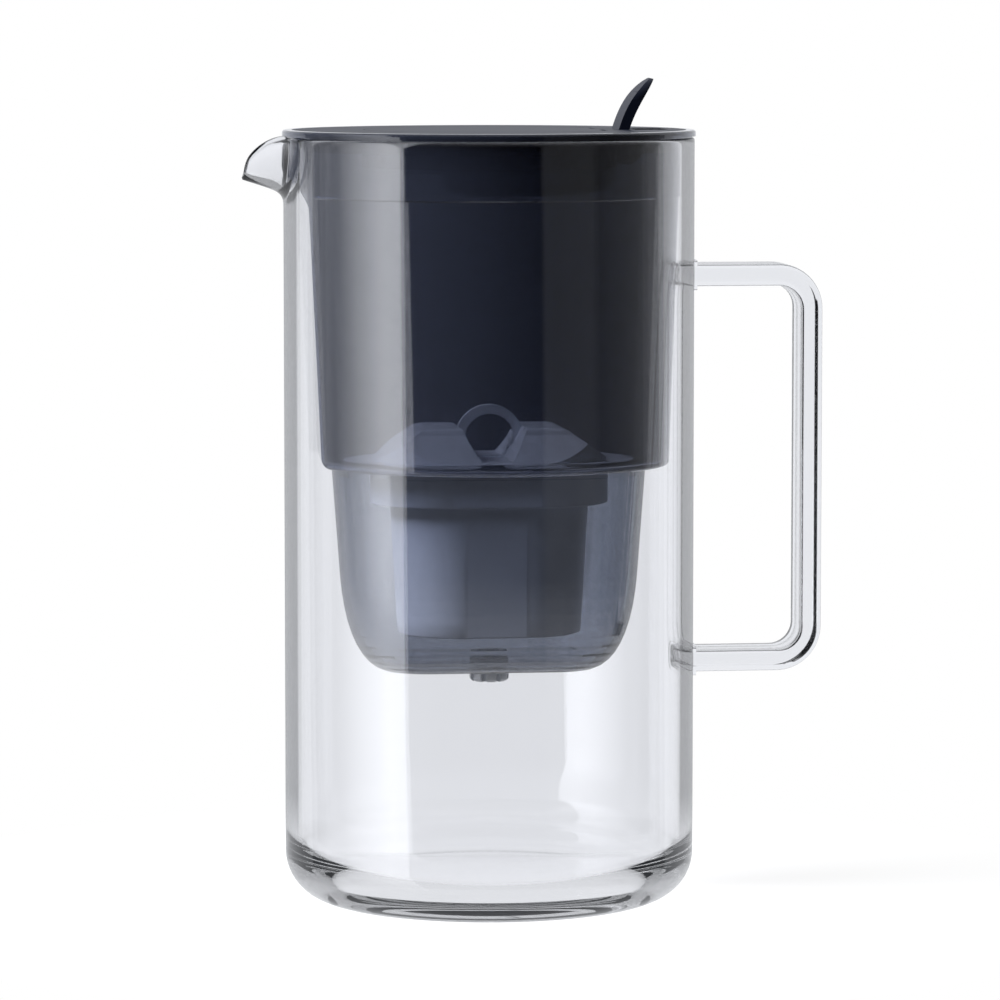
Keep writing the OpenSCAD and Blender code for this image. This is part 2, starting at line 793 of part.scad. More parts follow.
module splash_guard() {
    color("darkslateblue", 0.7) {
        translate([0, 0, fill_z - guard_t]) linear_extrude(guard_t) difference() {
            circle(fill_r);
            circle(fill_r - guard_ring);
        }
        difference() {
            intersection() {
                side_prism(guard_w) scoop_outline(0);
                translate([0, 0, fill_z - guard_h]) cylinder(r = fill_r, h = guard_h);
            }
            intersection() {
                side_prism(guard_w - 2 * guard_t) scoop_outline(guard_t);
                translate([0, 0, fill_z - guard_h]) cylinder(r = fill_r - guard_t, h = far);
            }
        }
    }
}

// Flap with its hinge block, thumb lever and front catch, in one moulding

module lever_outline() {
    foot = hinge_x - block_t / 2 - 0.6;
    tip = [foot + lever_lean + 0.6, flange_z + lever_h];
    polygon(concat(
        [[foot, lid_z]],
        bezier([foot, flange_z], [foot + 1.9, flange_z + 6.2], [foot + 4.6, flange_z + 11.6], tip, 10),
        bezier(tip + [1, -0.3], [foot + lever_t + 5.6, flange_z + 11], [foot + lever_t + 2.3, flange_z + 5.6],
            [foot + lever_t + 0.5, flange_z], 10),
        [[foot + lever_t + 0.5, lid_z]]
    ));
}

// Front view of the lever: a tongue with a round tip
module lever_front() {
    corner = block_w / 2 - 1;
    high = lever_h + hinge_drop;
    translate([-block_w / 2, -far / 2]) square([block_w, far / 2 + high - corner]);
    translate([-block_w / 2 + corner, 0]) square([block_w - 2 * corner, high]);
    for (x = [-1, 1]) translate([x * (block_w / 2 - corner), high - corner]) circle(corner);
}

module flap() {
    round_z = hinge_z - block_below + block_t / 2;
    catch_x = -flap_r + flap_ledge + 0.8;
    catch_z = fill_z + catch_gap;
    color("black") difference() {
        union() {
            translate([0, 0, lid_z]) linear_extrude(lid_t) {
                flap_plan(flap_r, flap_rear);
                translate([0, -block_w / 2]) square([hinge_x + block_t / 2, block_w]);
            }
            translate([hinge_x - block_t / 2, -block_w / 2, round_z]) cube([block_t, block_w, lid_z - round_z + eps]);
            translate([hinge_x, 0, round_z]) rotate([90, 0, 0]) cylinder(r = block_t / 2, h = block_w, center = true);
            intersection() {
                side_prism(block_w) lever_outline();
                translate([0, 0, hinge_z]) rotate([90, 0, 90]) linear_extrude(far) lever_front();
            }
            translate([catch_x, -catch_w / 2, catch_z]) cube([catch_t, catch_w, lid_z - catch_z + eps]);
        }
        translate([hinge_x, 0, hinge_z]) rotate([90, 0, 0])
            cylinder(r = pin_r + pin_gap, h = block_w + 2, center = true);
    }
}

glass_jug();
glass_handle();
reservoir();
filter_cup();
outlet_nozzle();
cartridge_shell();
cartridge_base();
outlet_screen();
filter_granules();
inlet_screen();
cartridge_cap();
cartridge_seal();
lid_frame();
splash_guard();
hinge_pin();
flap();
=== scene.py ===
import math

import bmesh
import bpy
import numpy as np
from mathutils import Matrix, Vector


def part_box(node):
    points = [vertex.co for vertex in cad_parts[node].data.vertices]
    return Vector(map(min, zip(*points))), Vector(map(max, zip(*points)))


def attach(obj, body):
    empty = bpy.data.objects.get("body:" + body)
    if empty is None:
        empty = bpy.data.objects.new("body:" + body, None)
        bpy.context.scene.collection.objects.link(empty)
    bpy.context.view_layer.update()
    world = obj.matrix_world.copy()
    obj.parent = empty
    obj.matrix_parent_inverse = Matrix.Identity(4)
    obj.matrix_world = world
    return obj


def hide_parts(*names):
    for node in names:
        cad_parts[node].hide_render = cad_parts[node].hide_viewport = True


# Water filter pitcher: a glass jug with a spout and a strap handle, a smoked reservoir and cup, an oval
# cartridge, and a dark lid with a flap. Lengths are in millimetres up to the point where a mesh is made.

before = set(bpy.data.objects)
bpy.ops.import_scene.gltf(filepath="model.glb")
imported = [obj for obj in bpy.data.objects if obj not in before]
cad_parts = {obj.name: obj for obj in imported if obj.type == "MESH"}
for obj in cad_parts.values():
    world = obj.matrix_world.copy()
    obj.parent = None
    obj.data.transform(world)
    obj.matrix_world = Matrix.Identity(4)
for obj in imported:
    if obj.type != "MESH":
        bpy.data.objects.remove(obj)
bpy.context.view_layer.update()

MM = 0.001

# Sizes read from the frame
jug_low, jug_high = (Vector(c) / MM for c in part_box("glass_jug"))
JUG_R = jug_high.y
RIM_Z = jug_high.z
SPOUT_REACH = -jug_low.x - JUG_R

# Sizes of the glass body: wall, base, heel outside and inside, and rounding of the rim's two edges
WALL = 3.8
BASE = 7.5
HEEL_R = 15.0
HEEL_IN = 14.5
RIM_ROUND = 0.9

# Sizes of the spout: width at the body and at the tip, drop of the tip and depth of the keel below the rim
SPOUT_W = 37.0
SPOUT_TIP = 7.0
SPOUT_DROP = 12.0
SPOUT_DEPTH = 19.2
# Its wall at the tip, what the wall gains at the root, and how far out that gain fades
SPOUT_WALL = 2.2
ROOT_GAIN = 0.8
ROOT_FADE = 2.0
# Slope of the keel, fillet at its root, and how far inside the body the lip starts to droop
KEEL_RISE = math.tan(math.radians(17.6))
KEEL_FILLET = 2.3
LIP_BACK = 2.1
# How far the inner lip and the tip's corners stand back from the tip
LIP_SET_IN = 1.9
CORNER_SET_IN = 1.3
# Share of the columns that end on the tip's front
TIP_SHARE = 0.22

# Height where the columns begin that shape the spout, and heights of the rows in the plain wall below it
SPLIT_Z = 196.0
WALL_ROWS = (60.0, 120.0, 170.0)

# Steps of the glass mesh
SPOUT_COLUMNS = 72
BODY_COLUMNS = 216
UPPER_ROWS = 36
BEAD_ROWS = 4
ARC_ROWS = 14
# Steps of a column: up the wall, out along the spout and over all, and how many its rounding spreads over
WALL_STEPS = 40
OUT_STEPS = 60
PATH_STEPS = 160
SOFT_STEPS = 4.0
# How often the spout's part of the mesh is eased, and how many of its lowest rows stay as they are
RELAX_PASSES = 3
STILL_ROWS = 4

# The camera stands at this azimuth from -Y, and the lights are placed from it
CAMERA_AZIMUTH = math.radians(-7.0)


# Shared tools

def linear(colour):
    """Linear RGBA of an sRGB hex value."""
    parts = [int(colour[i:i + 2], 16) / 255 for i in (1, 3, 5)]
    return tuple(c / 12.92 if c <= 0.04045 else ((c + 0.055) / 1.055) ** 2.4 for c in parts) + (1.0,)


def add(tree, kind, inputs=None, **settings):
    """A shader node with its settings, socket values and links."""
    node = tree.nodes.new("ShaderNode" + kind)
    for name, value in settings.items():
        setattr(node, name, value)
    for name, value in (inputs or {}).items():
        if isinstance(value, bpy.types.NodeSocket):
            tree.links.new(value, node.inputs[name])
        else:
            node.inputs[name].default_value = value
    return node


def new_material(name):
    """An empty material, its tree and its output node."""
    material = bpy.data.materials.new(name)
    material.use_nodes = True
    tree = material.node_tree
    tree.nodes.clear()
    return material, tree, add(tree, "OutputMaterial")


def make_piece(name, points, faces, body):
    """A smooth mesh from points in millimetres, which rides on a body."""
    mesh = bpy.data.meshes.new(name)
    mesh.from_pydata((np.asarray(points, float) * MM).tolist(), [], faces)
    work = bmesh.new()
    work.from_mesh(mesh)
    bmesh.ops.remove_doubles(work, verts=work.verts, dist=1e-7)
    bmesh.ops.recalc_face_normals(work, faces=work.faces)
    work.to_mesh(mesh)
    work.free()
    mesh.shade_smooth()
    piece = bpy.data.objects.new(name, mesh)
    bpy.context.scene.collection.objects.link(piece)
    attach(piece, body)
    return piece


def finish_with(piece, material):
    """Gives a piece or a CAD node one material."""
    piece.data.materials.clear()
    piece.data.materials.append(material)


def ease_edges(node, radius_mm, steps=2):
    """Gives a moulding's sharp edges the small radius of its tool, which catches the light."""
    sharp = math.radians(32)
    weld = node.modifiers.new("joined_faces", "WELD")
    weld.merge_threshold = 0.001 * MM
    bevel = node.modifiers.new("edge_radii", "BEVEL")
    bevel.width = radius_mm * MM
    bevel.segments = steps
    bevel.limit_method = "ANGLE"
    bevel.angle_limit = sharp
    bevel.harden_normals = True


# Materials

def see_through(tree, solid, clear):
    """The solid shader for what the eye sees, and a clear film for lamps and soft light that pass inwards."""
    path = add(tree, "LightPath")
    either = add(tree, "Math", {0: path.outputs["Is Shadow Ray"], 1: path.outputs["Is Diffuse Ray"]},
                 operation="MAXIMUM")
    film = add(tree, "BsdfTransparent", {"Color": clear})
    return add(tree, "MixShader", {0: either.outputs[0], 1: solid.outputs[0], 2: film.outputs[0]})


def borosilicate_glass(name, edge, low_edge):
    """Borosilicate glass, blown and fire-polished: clear, sharp reflections, faint draw waves in the wall.

    At grazing angles a dark matt colour is mixed in as painted shade, by the share edge, or low_edge in the
    base.
    """
    index = 1.47
    wave_mm = 26.0
    base_top, wall_start = 16.0, 34.0
    material, tree, output = new_material(name)
    where = add(tree, "TexCoord")
    waves = add(tree, "TexNoise", {
        "Vector": where.outputs["Object"], "Scale": 1 / (wave_mm * MM), "Detail": 1.0})
    bump = add(tree, "Bump", {"Height": waves.outputs["Fac"], "Strength": 0.02, "Distance": 0.0002})
    glass = add(tree, "BsdfPrincipled", {
        "Base Color": linear("#FCFCFD"), "Roughness": 0.0, "IOR": index, "Transmission Weight": 1.0,
        "Normal": bump.outputs["Normal"]})
    # Painted shade: a dark matt colour mixed in by the square of the Fresnel term, less of it in the base
    grazing = add(tree, "Fresnel", {"IOR": index, "Normal": bump.outputs["Normal"]})
    painted_shade_grazing = add(tree, "Math", {0: grazing.outputs[0], 1: 2.0}, operation="POWER")
    place = add(tree, "SeparateXYZ", {0: where.outputs["Object"]})
    share = add(tree, "MapRange", {
        "Value": place.outputs["Z"], "From Min": base_top * MM, "From Max": wall_start * MM,
        "To Min": low_edge, "To Max": edge})
    dark = add(tree, "Math", {0: painted_shade_grazing.outputs[0], 1: share.outputs[0]}, operation="MULTIPLY")
    shade = add(tree, "BsdfDiffuse", {"Color": linear("#15181C")})
    edged = add(tree, "MixShader", {0: dark.outputs[0], 1: glass.outputs[0], 2: shade.outputs[0]})
    tree.links.new(see_through(tree, edged, linear("#FCFCFD")).outputs[0], output.inputs["Surface"])
    return material


def smoked_plastic(name, tint, body, haze, ior, clear, rim):
    """Smoked SAN, injection moulded and polished: dark see-through, glossy, with a little colour in its body.

    The share haze of the light is scattered in the body. Where the eye looks along the wall, a dark matt
    colour is mixed in as painted shade, by the share rim.
    """
    flow_mm = 30.0
    material, tree, output = new_material(name)
    where = add(tree, "TexCoord")
    flow = add(tree, "TexNoise", {
        "Vector": where.outputs["Object"], "Scale": 1 / (flow_mm * MM), "Detail": 2.0})
    bump = add(tree, "Bump", {"Height": flow.outputs["Fac"], "Strength": 0.04, "Distance": 0.0002})
    through = add(tree, "BsdfPrincipled", {
        "Base Color": linear(tint), "Roughness": 0.02, "IOR": ior, "Transmission Weight": 1.0,
        "Normal": bump.outputs["Normal"]})
    within = add(tree, "BsdfPrincipled", {
        "Base Color": linear(body), "Roughness": 0.02, "IOR": ior, "Normal": bump.outputs["Normal"]})
    plastic = add(tree, "MixShader", {0: haze, 1: through.outputs[0], 2: within.outputs[0]})
    # Painted shade: a dark matt colour mixed in by the Fresnel term, by the share rim
    grazing = add(tree, "Fresnel", {"IOR": ior, "Normal": bump.outputs["Normal"]})
    along = add(tree, "Math", {0: grazing.outputs[0], 1: rim}, operation="MULTIPLY")
    shade = add(tree, "BsdfDiffuse", {"Color": linear("#1C2230")})
    edged = add(tree, "MixShader", {0: along.outputs[0], 1: plastic.outputs[0], 2: shade.outputs[0]})
    tree.links.new(see_through(tree, edged, linear(clear)).outputs[0], output.inputs["Surface"])
    return material


def moulded_plastic(name, dark, light, roughness, grain_mm, grain, ior=1.5):
    """Opaque moulded plastic: an even colour with slight mottling and the fine grain of the mould.

    The real grain of a satin mould is near 0.1 mm. It is drawn a few times as coarse, so that it shows.
    """
    mottle_mm = 11.1
    material, tree, output = new_material(name)
    where = add(tree, "TexCoord")
    mottle = add(tree, "TexNoise", {
        "Vector": where.outputs["Object"], "Scale": 1 / (mottle_mm * MM), "Detail": 3.0})
    ramp = add(tree, "ValToRGB", {"Fac": mottle.outputs["Fac"]})
    ramp.color_ramp.elements[0].color = linear(dark)
    ramp.color_ramp.elements[1].color = linear(light)
    fine = add(tree, "TexNoise", {
        "Vector": where.outputs["Object"], "Scale": 1 / (grain_mm * MM), "Detail": 2.0})
    bump = add(tree, "Bump", {"Height": fine.outputs["Fac"], "Strength": grain, "Distance": 0.0001})
    plastic = add(tree, "BsdfPrincipled", {
        "Base Color": ramp.outputs["Color"], "Roughness": roughness, "IOR": ior,
        "Normal": bump.outputs["Normal"]})
    tree.links.new(plastic.outputs[0], output.inputs["Surface"])
    return material


def ground_steel():
    """Ground stainless wire: bright metal, slightly uneven from grinding.

    The real marks are too fine to show and are drawn coarser.
    """
    grit_mm = 1 / 3
    material, tree, output = new_material("ground_steel")
    where = add(tree, "TexCoord")
    lines = add(tree, "TexNoise", {"Vector": where.outputs["Object"], "Scale": 1 / (grit_mm * MM)})
    bump = add(tree, "Bump", {"Height": lines.outputs["Fac"], "Strength": 0.1, "Distance": 0.00005})
    steel = add(tree, "BsdfPrincipled", {
        "Base Color": linear("#B8BABD"), "Metallic": 1.0, "Roughness": 0.3, "Normal": bump.outputs["Normal"]})
    tree.links.new(steel.outputs[0], output.inputs["Surface"])
    return material


# Glass jug

def lip_z(x):
    """Height of the spout's lip at a distance beyond the body."""
    run = SPOUT_REACH + LIP_BACK
    radius = (run ** 2 + SPOUT_DROP ** 2) / (2 * SPOUT_DROP)
    gone = np.clip(x + LIP_BACK, 0, radius)
    return RIM_Z - radius + np.sqrt(radius ** 2 - gone ** 2)


def keel_z(x):
    """Height of the spout's keel at a distance beyond the body."""
    ahead = np.maximum(x, 0)
    fade = 0.4 * KEEL_FILLET
    return RIM_Z - SPOUT_DEPTH + KEEL_FILLET + ahead * KEEL_RISE - KEEL_FILLET * np.exp(-ahead / fade)


def spout_half(x):
    """Half width of the spout at a distance beyond the body: a flare at the root, and a tip that draws in."""
    flare = 1.25
    drawn_in = 0.35
    s = np.clip(x / SPOUT_REACH, 0, 1)
    return SPOUT_TIP / 2 * (1 - drawn_in * s ** 4) + (SPOUT_W - SPOUT_TIP) / 2 * (1 - s) ** flare


def spout_point(x, turn, inner):
    """Point of the spout's outer or inner skin: x beyond the body, turn from -90 to 90 round the keel."""
    keel_gain = 1.05
    least_depth = 0.3
    a = np.radians(turn)
    thick = (SPOUT_WALL + ROOT_GAIN * np.exp(-np.maximum(x, 0) / ROOT_FADE)) if inner else 0 * x
    half = spout_half(x) - thick
    y = half * np.sin(a)
    beyond = np.sqrt(JUG_R ** 2 - spout_half(x) ** 2) + x - JUG_R
    high = lip_z(beyond)
    low = np.minimum(keel_z(x) + thick * keel_gain, high - least_depth)
    return np.stack([-(np.sqrt(JUG_R ** 2 - y ** 2) + x), y, high - (high - low) * np.cos(a)], axis=-1)


def soften(path, spread):
    """Rounds a path of even steps with a bell-shaped average, its ends kept."""
    reach = int(3 * spread) + 1
    weights = np.exp(-0.5 * (np.arange(-reach, reach + 1) / spread) ** 2)
    weights /= weights.sum()
    steps = np.arange(reach, 0, -1)[:, None]
    before = path[0] - steps * (path[1] - path[0])
    after = path[-1] + steps[::-1] * (path[-1] - path[-2])
    long = np.vstack([before, path, after])
    return np.stack([np.convolve(long[:, k], weights, "valid") for k in range(3)], axis=-1)


def even_steps(path, count, cut=0.0):
    """The path at even steps of its own length, with its last stretch cut off."""
    length = np.concatenate([[0], np.cumsum(np.linalg.norm(np.diff(path, axis=0), axis=1))])
    at = np.linspace(0, length[-1] - cut, count)
    return np.stack([np.interp(at, length, path[:, k]) for k in range(3)], axis=-1)


def spout_column(t, inner):
    """Path up the wall and out along the spout to its lip. t runs from -1 to 1 across the spout."""
    lip_curve = 1.3
    turn = 90 * t
    side = abs(t)
    last_x = SPOUT_REACH - (LIP_SET_IN if inner else 0)
    if side < TIP_SHARE:
        end_turn = turn / TIP_SHARE
        end_x = last_x - CORNER_SET_IN * math.sin(math.radians(end_turn)) ** 2
    else:
        end_turn = math.copysign(90, t)
        end_x = (last_x - CORNER_SET_IN) * (1 - (side - TIP_SHARE) / (1 - TIP_SHARE)) ** lip_curve
    start = spout_point(np.array([0.0]), np.array([turn]), inner)[0]
    radius = JUG_R - WALL if inner else JUG_R
    root_x = 0.0
    if inner:
        root_x = math.sqrt(radius ** 2 - start[1] ** 2) - math.sqrt(JUG_R ** 2 - start[1] ** 2)
    v = np.linspace(0, 1, OUT_STEPS)
    out = spout_point(root_x + (end_x - root_x) * v, turn + (end_turn - turn) * v, inner)
    foot = [-math.sqrt(radius ** 2 - out[0][1] ** 2), out[0][1]]
    up = np.linspace(SPLIT_Z, out[0][2], WALL_STEPS)[:-1]
    wall = np.stack([np.full_like(up, foot[0]), np.full_like(up, foot[1]), up], axis=-1)
    path = even_steps(np.vstack([wall, out]), PATH_STEPS)
    return soften(path, SOFT_STEPS)


def plain_column(angle, inner):
    """Path straight up the wall. The angle is counted from the spout's middle."""
    radius = JUG_R - WALL if inner else JUG_R
    up = np.linspace(SPLIT_Z, RIM_Z, PATH_STEPS)
    x = np.full_like(up, -radius * math.cos(angle))
    y = np.full_like(up, radius * math.sin(angle))
    return np.stack([x, y, up], axis=-1)


def body_profile():
    """Rows of radius and height, outside and inside, from the middle of the base to the plain wall."""
    base_rows = (1.0, 20.0, 40.0)
    floor_rows = (1.0, 20.0, 38.0)
    quarter = np.radians(np.linspace(0, 90, ARC_ROWS))
    outer = [(r, 0.0) for r in base_rows]
    outer += [(JUG_R - HEEL_R + HEEL_R * math.sin(a), HEEL_R - HEEL_R * math.cos(a)) for a in quarter]
    outer += [(JUG_R, z) for z in WALL_ROWS]
    inside = JUG_R - WALL
    inner = [(r, BASE) for r in floor_rows]
    inner += [(inside - HEEL_IN + HEEL_IN * math.sin(a), BASE + HEEL_IN - HEEL_IN * math.cos(a))
              for a in quarter]
    inner += [(inside, z) for z in WALL_ROWS]
    return outer, inner


def jug_skin():
    """Points and faces of the whole glass body: outside, rim and inside in one closed skin."""
    ts = np.linspace(-1, 1, SPOUT_COLUMNS + 1)
    outer_half = math.asin(SPOUT_W / 2 / JUG_R)
    inner_edge = spout_column(1.0, True)[0]
    inner_half = math.asin(inner_edge[1] / (JUG_R - WALL))
    share = np.linspace(0, 1, BODY_COLUMNS + 1)[1:-1]
    columns = []
    for inner, half in ((False, outer_half), (True, inner_half)):
        paths = [spout_column(t, inner) for t in ts]
        paths += [plain_column(half + s * (2 * math.pi - 2 * half), inner) for s in share]
        columns.append(paths)
    count = len(columns[0])
    outer_rows, inner_rows = body_profile()
    grids = []
    for paths, rows in zip(columns, (outer_rows, inner_rows)):
        upper = np.array([even_steps(path, UPPER_ROWS, RIM_ROUND) for path in paths]).transpose(1, 0, 2)
        angles = np.arctan2(upper[0, :, 1], -upper[0, :, 0])
        lower = np.array([[(-r * math.cos(a), r * math.sin(a), z) for a in angles] for r, z in rows])
        grid = np.concatenate([lower, upper])
        for _ in range(RELAX_PASSES):
            grid = relax(grid, len(rows) + STILL_ROWS)
        grids.append(grid)
    outer, inner = grids
    rows = np.concatenate([outer, rim_bead(outer, inner), inner[::-1]])
    points = rows.reshape(-1, 3).tolist()
    faces = []
    for i in range(len(rows) - 1):
        for j in range(count):
            k = (j + 1) % count
            faces.append((i * count + j, i * count + k, (i + 1) * count + k, (i + 1) * count + j))
    last = (len(rows) - 1) * count
    faces.append(tuple(range(count))[::-1])
    faces.append(tuple(last + j for j in range(count)))
    return points, faces


def rim_bead(outer, inner):
    """Rows of the fire-polished rim: a quarter round from the outer skin, a flat, and one to the inner."""
    bead = []
    across = outer[-1] - inner[-1]
    middle = (outer[-1] + inner[-1]) / 2
    heading = (outer[-1] - outer[-2]) / np.linalg.norm(outer[-1] - outer[-2], axis=1)[:, None]
    heading += (inner[-1] - inner[-2]) / np.linalg.norm(inner[-1] - inner[-2], axis=1)[:, None]
    flat = across / np.linalg.norm(across, axis=1)[:, None]
    heading -= flat * (heading * flat).sum(axis=1)[:, None]
    heading /= np.linalg.norm(heading, axis=1)[:, None]
    level = np.linalg.norm(across, axis=1)[:, None] / 2 - RIM_ROUND
    for side in (1, -1):
        for k in range(1, BEAD_ROWS + 1)[::side]:
            a = math.pi / 2 * k / BEAD_ROWS
            outwards = side * flat * (level + RIM_ROUND * math.cos(a))
            bead.append(middle + outwards + heading * RIM_ROUND * math.sin(a))
    return np.array(bead)


def relax(grid, first_row):
    """Eases the spout's part of a grid of points towards the average of its neighbours."""
    reach = 4
    picked = np.zeros(grid.shape[1], bool)
    picked[:SPOUT_COLUMNS + 1 + reach] = True
    picked[-reach:] = True
    mean = (np.roll(grid, 1, axis=1) + np.roll(grid, -1, axis=1)) / 2
    rows = (grid[:-2] + grid[2:]) / 2
    new = grid.copy()
    new[1:-1] = grid[1:-1] * 0.5 + (mean[1:-1] + rows) * 0.25
    new[-1] = grid[-1] * 0.5 + mean[-1] * 0.5
    new[:first_row] = grid[:first_row]
    out = grid.copy()
    out[:, picked] = new[:, picked]
    return out


# Studio

def studio_world():
    """White for the eye, a soft plain level for matt surfaces, and lit panels round it for gloss and glass.

    Each panel has its two azimuths and its level at either. Azimuth is 0 towards the camera and grows to the
    right. What is seen straight through the glass, with no mirroring on the way, is white in front too.
    """
    panels = [
        (-200, -124, 0.94, 0.94), (-124, -110, 0.3, 0.45), (-110, -98, 0.7, 0.55), (-98, -63, 0.55, 4.0),
        (-63, -51.5, 4.0, 3.6), (-51.5, 29, 0.04, 0.0), (29, 62, 0.12, 0.16), (62, 98, 0.08, 0.2),
        (98, 113, 0.3, 0.36), (113, 135, 1.0, 1.0), (135, 200, 0.94, 0.94)]
    edge = math.radians(0.8)
    lean = 0.45
    front_side, side_edge = math.radians(90), math.radians(98)
    floor_starts, floor_full = -0.15, -0.6
    ceiling_starts, ceiling_full = 0.6, 0.75
    white_level = 0.94
    ceiling_level = 1.0
    plain_level = 0.08
    world = bpy.data.worlds.new("studio")
    bpy.context.scene.world = world
    world.use_nodes = True
    tree = world.node_tree
    tree.nodes.clear()
    output = add(tree, "OutputWorld")
    where = add(tree, "TexCoord")
    split = add(tree, "SeparateXYZ", {0: where.outputs["Generated"]})
    ahead = add(tree, "Math", {0: split.outputs["Y"], 1: -1.0}, operation="MULTIPLY")
    world_azimuth = add(tree, "Math", {0: split.outputs["X"], 1: ahead.outputs[0]}, operation="ARCTAN2")
    leaning = add(tree, "Math", {0: split.outputs["Z"], 1: lean, 2: -CAMERA_AZIMUTH},
                  operation="MULTIPLY_ADD")
    azimuth = add(tree, "Math", {0: world_azimuth.outputs[0], 1: leaning.outputs[0]}, operation="ADD")
    level = None
    for low, high, at_low, at_high in panels:
        low, high = math.radians(low), math.radians(high)
        rise = add(tree, "MapRange", {"Value": azimuth.outputs[0], "From Min": low, "From Max": low + edge})
        fall = add(tree, "MapRange", {"Value": azimuth.outputs[0], "From Min": high + edge, "From Max": high})
        shape = add(tree, "Math", {0: rise.outputs[0], 1: fall.outputs[0]}, operation="MULTIPLY")
        slope = add(tree, "MapRange", {
            "Value": azimuth.outputs[0], "From Min": low, "From Max": high,
            "To Min": at_low, "To Max": at_high})
        level = add(tree, "Math", {0: shape.outputs[0], 1: slope.outputs[0],
                                   2: level.outputs[0] if level else 0.0}, operation="MULTIPLY_ADD")
    down = add(tree, "MapRange", {
        "Value": split.outputs["Z"], "From Min": floor_starts, "From Max": floor_full})
    low_part = add(tree, "Mix", {"Factor": down.outputs[0], "A": level.outputs[0], "B": white_level})
    up = add(tree, "MapRange", {
        "Value": split.outputs["Z"], "From Min": ceiling_starts, "From Max": ceiling_full})
    panels_level = add(tree, "Mix", {"Factor": up.outputs[0], "A": low_part.outputs[0], "B": ceiling_level})
    path = add(tree, "LightPath")
    straight = add(tree, "Math", {0: path.outputs["Glossy Depth"], 1: 0.5}, operation="LESS_THAN")
    off_front = add(tree, "Math", {0: azimuth.outputs[0]}, operation="ABSOLUTE")
    front = add(tree, "MapRange", {
        "Value": off_front.outputs[0], "From Min": side_edge, "From Max": front_side})
    seen_clear = add(tree, "Math", {0: straight.outputs[0], 1: front.outputs[0]}, operation="MULTIPLY")
    clear_level = add(tree, "Mix", {
        "Factor": seen_clear.outputs[0], "A": panels_level.outputs[0], "B": white_level})
    sharp = add(tree, "Math", {0: path.outputs["Is Glossy Ray"], 1: path.outputs["Is Transmission Ray"]},
                operation="MAXIMUM")
    lit = add(tree, "Mix", {"Factor": sharp.outputs[0], "A": plain_level, "B": clear_level.outputs[0]})
    seen = add(tree, "Mix", {"Factor": path.outputs["Is Camera Ray"], "A": lit.outputs[0], "B": 1.0})
    hue = add(tree, "Mix", {
        "Factor": path.outputs["Is Camera Ray"], "A": linear("#F6F8FC"), "B": linear("#FFFFFF")},
        data_type="RGBA")
    sky = add(tree, "Background", {"Color": hue.outputs["Result"], "Strength": seen.outputs[0]})
    tree.links.new(sky.outputs[0], output.inputs["Surface"])


def studio_floor():
    """A pale floor that reads as white and keeps a soft shadow of the object near its base."""
    half = 6.0
    below = 0.0002
    near, far = 0.09, 0.2
    near_glow = 0.8
    mesh = bpy.data.meshes.new("floor")
    corners = [(-half, -half, 0), (half, -half, 0), (half, half, 0), (-half, half, 0)]
    mesh.from_pydata(corners, [], [(0, 1, 2, 3)])
    floor = bpy.data.objects.new("floor", mesh)
    floor.location.z = -below
    floor.visible_glossy = False
    floor.visible_transmission = False
    bpy.context.scene.collection.objects.link(floor)
    material, tree, output = new_material("pale_floor")
    path = add(tree, "LightPath")
    where = add(tree, "TexCoord")
    away = add(tree, "VectorMath", {0: where.outputs["Object"]}, operation="LENGTH")
    white = add(tree, "MapRange", {
        "Value": away.outputs["Value"], "From Min": near, "From Max": far,
        "To Min": near_glow, "To Max": 1.0})
    glow = add(tree, "Emission", {"Color": linear("#FFFFFF"), "Strength": 1.0})
    shade = add(tree, "Mix", {
        "Factor": path.outputs["Is Camera Ray"], "A": linear("#6A6A6A"), "B": linear("#F4F4F4")},
        data_type="RGBA")
    matt = add(tree, "BsdfDiffuse", {"Color": shade.outputs["Result"]})
    share = add(tree, "Math", {0: path.outputs["Is Camera Ray"], 1: white.outputs[0]}, operation="MULTIPLY")
    mix = add(tree, "MixShader", {0: share.outputs[0], 1: matt.outputs[0], 2: glow.outputs[0]})
    tree.links.new(mix.outputs[0], output.inputs["Surface"])
    finish_with(floor, material)


def studio_lamp(name, azimuth, elevation, away, side, power):
    """A large soft square lamp, aimed at the object, that shows in no reflection.

    Its azimuth is counted from the camera's and grows to the right. The distance and the side are in metres.
    """
    turn, rise = CAMERA_AZIMUTH + math.radians(azimuth), math.radians(elevation)
    aim = Vector((0.0, 0.0, 0.12))
    level = math.cos(rise)
    place = aim + away * Vector((math.sin(turn) * level, -math.cos(turn) * level, math.sin(rise)))
    data = bpy.data.lights.new(name, "AREA")
    data.shape = "SQUARE"
    data.size = side
    data.energy = power
    lamp = bpy.data.objects.new(name, data)
    lamp.location = place
    lamp.rotation_euler = (aim - place).to_track_quat("-Z", "Y").to_euler()
    lamp.visible_glossy = False
    lamp.visible_transmission = False
    lamp.visible_camera = False
    bpy.context.scene.collection.objects.link(lamp)


def place_camera():
    """The photograph's view: a long lens just above the rim, turned seven degrees towards the spout."""
    away = 1.639
    height = 0.2754
    towards_x, towards_y = -0.122, -0.9925
    spot = Vector((towards_x * away, towards_y * away, height))
    aim = Vector((0.00337, -0.00041, 0.1233))
    data = bpy.data.cameras.new("camera")
    data.lens = 192.2
    data.sensor_width = 36.0
    data.clip_end = 50.0
    camera = bpy.data.objects.new("camera", data)
    camera.location = spot
    camera.rotation_euler = (aim - spot).to_track_quat("-Z", "Y").to_euler()
    bpy.context.scene.collection.objects.link(camera)
    bpy.context.scene.camera = camera


scene = bpy.context.scene
scene.view_settings.view_transform = "Standard"
# The nested glass and plastic walls need long paths
WALL_BOUNCES = 32
scene.cycles.max_bounces = WALL_BOUNCES
scene.cycles.glossy_bounces = WALL_BOUNCES
scene.cycles.transmission_bounces = WALL_BOUNCES
scene.cycles.transparent_max_bounces = WALL_BOUNCES

